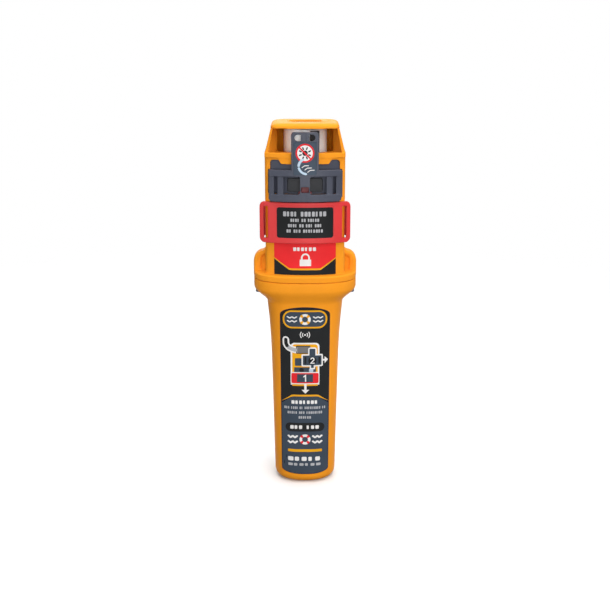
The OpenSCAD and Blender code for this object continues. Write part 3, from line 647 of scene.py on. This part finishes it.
def clip_print():
    """The sign, and below it a hand's pulling strokes."""
    face, half, z0, z1 = bowed_label("clip_label")
    slot = "clip_print"
    lay = layers_on("clip_label", face, "clip", slot)
    cz = z1 - 3.85               # middle of the lamp sign
    printed("clip_label_sheet", [rounded(-half, z0, half, z1, 0.35)], face, 0, "clip", slot,
            MATERIALS[slot], "clip_label")
    lay("disc", [disc(0, cz, 3.0)], 1, "white")
    lay("ring", [disc(0, cz, 3.32), disc(0, cz, 2.72)], 2, "red")
    lay("lamp", [disc(0, cz, 0.95)], 2, "black")
    rays, inner, outer = 8, 1.45, 2.05
    for k in range(rays):
        a = 2 * math.pi * (k + 0.5) / rays
        u, v = math.cos(a), math.sin(a)
        ray = [(inner * u, cz + inner * v), (outer * u, cz + outer * v)]
        lay("ray_%d" % k, [stroke(ray, 0.48)], 2, "black")
    lay("bar", [stroke([(-2.15, cz + 2.15), (2.15, cz - 2.15)], 0.55)], 3, "red")
    lay("sweep_upper", [stroke(arc(0.55, z0 + 2.9, 2.8, 118, 172, 14), 0.9)], 4, "pale_blue")
    lay("sweep_lower", [stroke(arc(0.75, z0 + 3.4, 3.1, 200, 262, 14), 0.8)], 4, "pale_blue")
    for k in range(3):
        x, z = -1.05 + 1.0 * k, z0 + 3.0 - 0.8 * k
        lay("stroke_%d" % k, [stroke([(x, z - 0.4), (x + 0.9, z + 0.25), (x + 2.3, z + 0.3)],
                                     0.26)], 4, "white")


# ---- Slider label: four rows ----

def slider_print():
    """A row of large blocks over three rows of small ones."""
    face, half, z0, z1 = bowed_label("slider_label")
    slot = "slider_print"
    printed("slider_label_sheet", [rounded(-half, z0, half, z1, 0.8)], face, 0, "slider", slot,
            MATERIALS[slot], "slider_label")
    top_row, first_gap, gap = z1 - 2.3, 2.25, 1.95
    rows = word_row(top_row, 1.75, 15.6, (4, 7))
    small = ((10.4, (4, 2, 5)), (12.2, (4, 2, 3, 3)), (13.2, (2, 3, 8)))
    for k, (width, words) in enumerate(small):
        rows += word_row(top_row - first_gap - gap * k, 1.15, width, words)
    layers_on("slider_label", face, "slider", slot)("rows", rows, 1, "grey")


# ---- Neck label: red field, padlock and black corners ----

def padlock(x, z, size):
    """Closed padlock standing on z: the body with its shackle above."""
    half, body_h, shackle = size / 2, size * 0.59, size * 0.32
    bow = stroke([(x - shackle, z + body_h * 0.7)] + arc(x, z + body_h + size * 0.17, shackle,
                 180, 0, 14) + [(x + shackle, z + body_h * 0.7)], size * 0.14)
    return rounded(x - half, z, x + half, z + body_h, 0.15), bow


def neck_print():
    """Black sheet with a red field that ends in an amber line."""
    face, half, z0, z1 = bowed_label("neck_label")
    slot = "neck_print"
    lay = layers_on("neck_label", face, "beacon", slot)
    cut_z, foot_x, foot_z, line = 88.9, 6.3, 85.1, 0.64
    corners = arc(foot_x - 1.2, foot_z + 1.9, 1.9, -90, -52, 6)

    def field(drop):
        """Lower edge of the red field, moved down by drop."""
        edge = [(half, cut_z - drop * 0.6)]
        edge += [(x, z - drop) for x, z in reversed(corners)]
        edge += [(-x, z) for x, z in reversed(edge)]
        return edge

    printed("neck_label_sheet", [[(-half, z0), (half, z0), (half, z1), (-half, z1)]], face, 0,
            "beacon", slot, INKS["black"], "neck_label")
    top = [(-half, z1), (half, z1)]
    lay("line", [top + field(line)], 1, "amber")
    printed("neck_label_field", [top + field(0)], face, 2, "beacon", slot, MATERIALS[slot])
    lay("row", word_row(92.25, 1.35, 8.5, (6,)), 3, "white")
    for part, loop in zip(("body", "bow"), padlock(0.15, 86.0, 4.1)):
        lay("lock_" + part, [loop], 3, "white")


# ---- Handle's front label ----

LABEL_Z = (5.3, 67.3)            # where its straight sides end
LABEL_HALF = (8.9, 9.25)         # half its width there
LABEL_FOOT, LABEL_ARCH = 2.1, 3.3    # how far its curved ends reach


def label_half(z):
    """Half the label's width at a height."""
    t = (z - LABEL_Z[0]) / (LABEL_Z[1] - LABEL_Z[0])
    return LABEL_HALF[0] + (LABEL_HALF[1] - LABEL_HALF[0]) * t


def label_foot(inset):
    """Curved lower edge of the handle's label with rounded corners, left to right."""
    half = label_half(LABEL_Z[0]) - inset
    return [(-half * math.copysign(abs(math.cos(a)) ** 0.8, math.cos(a)),
             LABEL_Z[0] + 0.5 + inset - LABEL_FOOT * math.sin(a) ** 0.8)
            for a in [math.pi * k / 32 for k in range(33)]]


def label_arch(inset):
    """Arched upper edge of the handle's label, right to left."""
    half = label_half(LABEL_Z[1]) - inset
    return [(half * math.cos(a), LABEL_Z[1] - inset * 0.4
             + (LABEL_ARCH - inset * 0.6) * math.sin(a) ** (1 / 1.2))
            for a in [math.pi * k / 36 for k in range(37)]]


def numeral_one(x, z, size):
    """The figure 1, centred."""
    return stroke([(x - 0.22 * size, z + 0.24 * size), (x + 0.04 * size, z + 0.46 * size),
                   (x + 0.05 * size, z - 0.5 * size)], 0.2 * size)


def numeral_two(x, z, size):
    """The figure 2, centred."""
    bowl = arc(x, z + 0.22 * size, 0.26 * size, 165, -35, 10)
    return stroke(bowl + [(x - 0.26 * size, z - 0.46 * size), (x + 0.3 * size, z - 0.46 * size)],
                  0.18 * size)


def lifebuoy(x, z, r):
    """Ring and the four bands across it."""
    ring = [disc(x, z, r), disc(x, z, r * 0.52)]
    bands = [arc(x, z, r * 1.02, a - 16, a + 16, 6) + arc(x, z, r * 0.5, a + 16, a - 16, 6)
             for a in (45, 135, 225, 315)]
    return ring, bands


def badge(lay):
    """Amber-edged badge with a lifebuoy between waves."""
    x, z0, z1, edge = 8.2, 62.5, 69.4, 0.6
    corner = (z1 - z0) / 2 - 0.2
    mid = (z0 + z1) / 2
    inner = rounded(-x + edge, z0 + edge, x - edge, z1 - edge, corner - edge, 16)
    lay("badge_edge", [rounded(-x, z0, x, z1, corner, 16), inner], 2, "amber")
    lay("badge_field", [inner], 2, "slate")
    ring, bands = lifebuoy(0, mid, 2.1)
    lay("badge_buoy", ring, 3, "white")
    lay("badge_bands", bands, 4, "amber")
    for side, name in ((-1, "left"), (1, "right")):
        rows = [wave(side * 3.1, side * 6.5, mid + offset, 0.2, 2, 0.42)
                for offset in (-0.75, 0.75)]
        lay("badge_waves_" + name, rows, 3, "white")


def broadcast(x, z):
    """A dot with two arcs on each side."""
    loops = [disc(x, z, 0.32, 20)]
    for middle in (0, 180):
        for r in (0.95, 1.75):
            loops.append(stroke(arc(x, z, r, middle - 38, middle + 38, 10), 0.3))
    return loops


def head_outline(half, foot, top, corner):
    """Outline of the beacon's head in the picture, open downwards."""
    return ([(-half, foot)] + arc(-half + corner, top - corner, corner, 180, 90, 8)
            + arc(half - corner, top - corner, corner, 90, 0, 8) + [(half, foot)])


def release_picture(lay):
    """Steps: 1, pull the band down; 2, pull the clip off sideways; the tape springs out."""
    half, foot, top, edge = 5.35, 39.9, 56.9, 0.6
    lay("picture_edge", [head_outline(half, foot + 0.4, top, 1.5)], 2, "white")
    lay("picture_body", [head_outline(half - edge, foot, top - edge, 1.1)], 3, "amber")
    lay("picture_panels", [rounded(-half + 1.3, 45.15, 4.1, 47.3, 0.3),
                           rounded(-half + 1.6, 47.9, 4.0, 50.9, 0.3)], 4, "slate")
    lay("picture_button", [disc(-1.3, 46.2, 0.85, 24)], 5, "black")
    lay("picture_light", [rounded(1.5, 45.5, 3.1, 46.8, 0.3)], 5, "pale_blue")
    lay("picture_coil_edge", [rounded(-3.3, 52.65, 2.0, 55.75, 0.15)], 4, "black")
    lay("picture_coil", [rounded(-2.9, 52.95, 2.0, 55.45, 0.1)], 5, "steel")
    bend = [(-3.6, 54.1), (-4.8, 54.4), (-5.9, 54.9), (-6.7, 55.7), (-7.05, 56.6), (-7.1, 58.0)]
    lay("picture_tape_edge", [stroke(bend, 2.5, 10)], 4, "white")
    lay("picture_tape", [stroke(bend[:4], 1.45)], 5, "grey")
    lay("picture_tape_end", [stroke(bend[3:], 1.3, 10)], 6, "black")
    clip_x, clip_z, rim = 2.75, 50.05, 0.5
    for grow, layer, ink, part in ((rim, 6, "white", "edge"), (0, 7, "slate", "field")):
        shapes = {
            "tab": rounded(clip_x - 1.1 - grow, clip_z, clip_x + 1.1 + grow, 54.6 + grow,
                           0.3 + grow),
            "bar": rounded(-0.8 - grow, clip_z - 1.9 - grow, clip_x + 3.4 + grow,
                           clip_z + 1.9 + grow, 0.25 + grow * 0.5),
            "stub": rounded(clip_x - 0.5 - grow, clip_z - 3.0 - grow, clip_x + 0.5 + grow,
                            clip_z, 0.2)}
        for shape, loop in shapes.items():
            lay("picture_clip_%s_%s" % (shape, part), [loop], layer, ink)
    gaps = [rounded(clip_x + s - 0.35, clip_z - 1.3, clip_x + s + 0.35, clip_z + 1.3, 0.1)
            for s in (-2.6, 2.6)]
    lay("picture_clip_gaps", gaps, 8, "black")
    lay("picture_clip_disc", [disc(clip_x, clip_z - 0.15, 1.5)], 8, "black")
    lay("picture_two", [numeral_two(clip_x, clip_z - 0.1, 2.2)], 9, "white")
    lay("picture_arrow_off", [arrow(clip_x + 3.7, clip_z, 1, 0, 2.1, 0.7, 2.8, 1.25)], 5, "white")
    lay("picture_band_edge", [rounded(-5.4, 40.6, 5.4, 45.4, 0.9)], 6, "white")
    lay("picture_band", [rounded(-5.1, 40.95, 5.1, 45.05, 0.6)], 7, "red")
    lay("picture_band_field", [rounded(-3.0, 41.4, 3.0, 44.6, 0.15)], 8, "slate")
    lay("picture_one", [numeral_one(0.1, 43.0, 2.4)], 9, "white")
    lay("picture_arrow_down", [arrow(0.15, 40.7, 0, -1, 3.85, 0.85, 2.9, 1.5)], 8, "white")


def front_print():
    """Badge, picture of the two steps, and rows of blocks between amber lines."""
    slot = "handle_print"
    lay = layers_on("front_label", handle_front, "beacon", slot)
    printed("front_label_sheet", [label_foot(0) + label_arch(0)], handle_front, 0, "beacon", slot,
            MATERIALS[slot], "front_label")
    bend_x, bend_z, side_z, line, rim = 4.6, 36.35, 33.3, 0.68, 0.32
    edge_x = label_half(side_z)
    ridge = [(-edge_x, side_z), (-bend_x - 0.5, bend_z - 0.15), (-bend_x + 0.3, bend_z),
             (bend_x - 0.3, bend_z), (bend_x + 0.5, bend_z - 0.15), (edge_x, side_z)]
    shoulder = [(max(rim - edge_x, min(edge_x - rim, x)), z) for x, z in ridge]
    lay("upper", [shoulder + label_arch(rim)], 1, "black")
    lay("lower", [label_foot(rim * 0.6) + [(x, z - line) for x, z in reversed(shoulder)]], 1,
        "slate")
    taper = [ridge[0]] + [(x, z - line) for x, z in ridge[1:-1]] + [ridge[-1]]
    lay("line", [ridge + taper[::-1][1:-1]], 2, "amber")
    badge(lay)
    lay("broadcast", broadcast(0, 60.0), 2, "white")
    release_picture(lay)
    lay("heading", word_row(33.35, 1.4, 10.2, (7,)), 2, "white")
    small = word_row(31.1, 1.0, 15.6, (3, 4, 2, 9, 2))
    small += word_row(29.15, 1.0, 13.2, (5, 3, 8)) + word_row(27.2, 1.0, 4.8, (6,))
    lay("rows", small, 2, "grey")
    lay("pill", [rounded(-7.35, 21.4, 7.35, 24.95, 1.7, 10)], 2, "black")
    lay("pill_marks", word_row(23.2, 1.45, 11.2, (3, 3)), 3, "white")
    buoy_z = 18.15
    ring, bands = lifebuoy(0, buoy_z, 2.1)
    lay("buoy", ring, 2, "white")
    lay("buoy_bands", bands, 3, "red")
    for side, name in ((-1, "left"), (1, "right")):
        rows = [wave(side * 3.0, side * 6.3, buoy_z + offset, 0.27, 2, 0.7)
                for offset in (-1.1, 1.1)]
        lay("crests_" + name, rows, 2, "white")
    lay("bar", [rounded(-6.5, 13.0, 6.5, 14.1, 0.3)], 2, "amber")
    lay("big_row", word_row(10.1, 1.7, 13.0, (5,)), 2, "white")
    lay("small_row", word_row(7.75, 1.1, 12.8, (6,)), 2, "grey")


# ---- Handle's rear label ----

def rear_print():
    """Lifebuoy, rows of blocks, a field to write on, bars and an arrow."""
    slot = "rear_print"
    lay = layers_on("rear_label", handle_rear, "beacon", slot)
    printed("rear_label_sheet", [label_foot(0) + label_arch(0)], handle_rear, 0, "beacon", slot,
            MATERIALS[slot], "rear_label")
    ring, bands = lifebuoy(0, 64.6, 2.9)
    lay("buoy", ring, 1, "white")
    lay("buoy_bands", bands, 2, "red")
    lay("heading", word_row(59.3, 1.5, 12.0, (5, 3)), 1, "white")
    rows = []
    for k, words in enumerate(((3, 6, 4), (5, 2, 6), (7, 5), (2, 4, 5), (6, 3, 3), (4, 7))):
        rows += word_row(56.4 - 2.1 * k, 1.0, 13.6, words)
    lay("rows", rows, 1, "grey")
    lay("line", [rounded(-7.4, 42.6, 7.4, 43.0, 0.15)], 1, "amber")
    lay("field", [rounded(-7.4, 31.4, 7.4, 41.0, 0.8)], 1, "white")
    lay("field_rows", [rounded(-6.4, z, 6.4, z + 0.25, 0.1) for z in (33.3, 35.7, 38.1)], 2,
        "slate")
    columns = 14
    bars = [(-6.6 + 13.2 * k / columns, 0.28 + 0.34 * ((5 * k + 2) % 3) / 2)
            for k in range(columns)]
    lay("bars", [rounded(x, 24.2, x + w, 28.6, 0.05, 1) for x, w in bars], 1, "grey")
    lay("small_rows", word_row(21.6, 1.0, 12.6, (4, 6)) + word_row(19.5, 1.0, 10.6, (3, 5)), 1,
        "grey")
    lay("arrow", [arrow(0, 16.6, 0, -1, 6.0, 1.1, 3.4, 2.2)], 1, "amber")


def label_rims():
    """Low edges where the label's seat runs on to the end of the handle."""
    for side, name in ((-1, "left"), (1, "right")):
        x = side * (LABEL_HALF[0] + 0.05)
        line = [(x, LABEL_Z[0] - 0.3), (x - side * 0.12, HANDLE_Z[0] + 0.1)]
        printed("seat_edge_" + name, [stroke(line, 0.2)], handle_front, 0, "beacon",
                "yellow_plastic", MATERIALS["yellow_plastic"])


clip_print()
slider_print()
neck_print()
front_print()
rear_print()
label_rims()


# ---- CAD nodes that stay as they are ----

for node_name, node_object in frame["nodes"].items():
    for material_slot in node_object.material_slots:
        material_slot.material = MATERIALS[SLOTS[node_name]]


# ---- Stage, in metres ----

WHITE = (1, 1, 1)
MIDDLE = (0, 0, 0.08)            # what most lights are aimed at
LIGHTS = (                       # name, place, target, size, power, colour
    ("key", (0.30, -0.54, 0.46), MIDDLE, (0.35, 0.35), 1.3, WHITE),
    ("fill", (-0.40, -0.50, 0.13), MIDDLE, (0.4, 0.4), 0.75, WHITE),
    ("front", (0.06, -0.63, 0.16), MIDDLE, (0.35, 0.3), 1.65, WHITE),
    ("top", (0.02, -0.02, 0.62), (0, 0, 0.1), (0.45, 0.45), 2.7, WHITE),
    ("right_strip", (0.42, -0.05, 0.12), MIDDLE, (0.08, 0.4), 0.45, (1, 0.93, 0.9)),
    ("back", (-0.1, 0.6, 0.4), MIDDLE, (0.5, 0.4), 1.4, WHITE),
)
FLOOR_RADIUS = 0.5
FLOOR_FADE = (0.10, 0.45)        # the floor is solid within the first and gone past the second
CAMERA_PLACE = (0, -0.3758, 0.1694)
CAMERA_PITCH = 15.07             # degrees down
CAMERA_ANGLE = 33                # degrees of view


def aim(thing, place, target):
    """Puts a light or camera at a place and points it at the target."""
    thing.location = place
    thing.rotation_mode = "QUATERNION"
    thing.rotation_quaternion = (Vector(target) - Vector(place)).to_track_quat("-Z", "Y")


def area_light(name, place, target, size, power, colour):
    """Adds a soft rectangular light."""
    data = bpy.data.lights.new(name, "AREA")
    data.shape = "RECTANGLE"
    data.size, data.size_y = size
    data.energy = power
    data.color = colour
    lamp = bpy.data.objects.new(name, data)
    bpy.context.scene.collection.objects.link(lamp)
    aim(lamp, place, target)


def studio_world():
    """Soft uneven light from all round, and plain white where the camera looks past."""
    world = bpy.data.worlds.new("studio")
    bpy.context.scene.world = world
    world.use_nodes = True
    tree = world.node_tree
    parts = add(tree, "SeparateXYZ", {"Vector": place_on(tree, "Generated")})
    height = remap(tree, parts.outputs["Z"], 0.10, 0.60, -0.6, 0.9)
    across = remap(tree, parts.outputs["X"], 0.78, 1.12, -0.8, 0.8)
    light = product(tree, height, across)
    seen = add(tree, "LightPath", {}).outputs["Is Camera Ray"]
    strength = add(tree, "MapRange", {"Value": seen, "To Min": light, "To Max": 1.0}).outputs[0]
    tree.links.new(strength, tree.nodes["Background"].inputs["Strength"])
    tree.nodes["Background"].inputs["Color"].default_value = (*WHITE, 1)


def floor_material():
    """Pale floor that fades out far from the beacon."""
    material, tree, shader = new_material("floor")
    flat = add(tree, "VectorMath", {0: place_on(tree), 1: (1, 1, 0)},
               operation="MULTIPLY").outputs[0]
    reach = add(tree, "VectorMath", {0: flat}, operation="LENGTH").outputs["Value"]
    fade = add(tree, "MapRange", {"Value": reach, "From Min": FLOOR_FADE[0],
                                  "From Max": FLOOR_FADE[1], "To Min": 1.0, "To Max": 0.0},
               interpolation_type="SMOOTHSTEP").outputs[0]
    tint = varied(tree, WHITE, 30, 3, 0.90, 0.93)
    tree.links.new(tint, shader.inputs["Base Color"])
    tree.links.new(fade, shader.inputs["Alpha"])
    shader.inputs["Roughness"].default_value = 0.7
    shader.inputs["Specular IOR Level"].default_value = 0.1
    return material


def lay_floor():
    """A round floor that the beacon stands on."""
    bm = bmesh.new()
    bmesh.ops.create_circle(bm, cap_ends=True, segments=96, radius=FLOOR_RADIUS)
    mesh = bpy.data.meshes.new("floor")
    bm.to_mesh(mesh)
    bm.free()
    mesh.materials.append(floor_material())
    floor = bpy.data.objects.new("floor", mesh)
    bpy.context.scene.collection.objects.link(floor)
    floor.visible_diffuse = False


def set_camera():
    """The photograph's point of view."""
    data = bpy.data.cameras.new("camera")
    camera = bpy.data.objects.new("camera", data)
    bpy.context.scene.collection.objects.link(camera)
    bpy.context.scene.camera = camera
    data.angle = math.radians(CAMERA_ANGLE)
    camera.location = CAMERA_PLACE
    camera.rotation_euler = (math.radians(90 - CAMERA_PITCH), 0, 0)


lay_floor()
for light in LIGHTS:
    area_light(*light)
studio_world()
bpy.context.scene.view_settings.view_transform = "Standard"
set_camera()
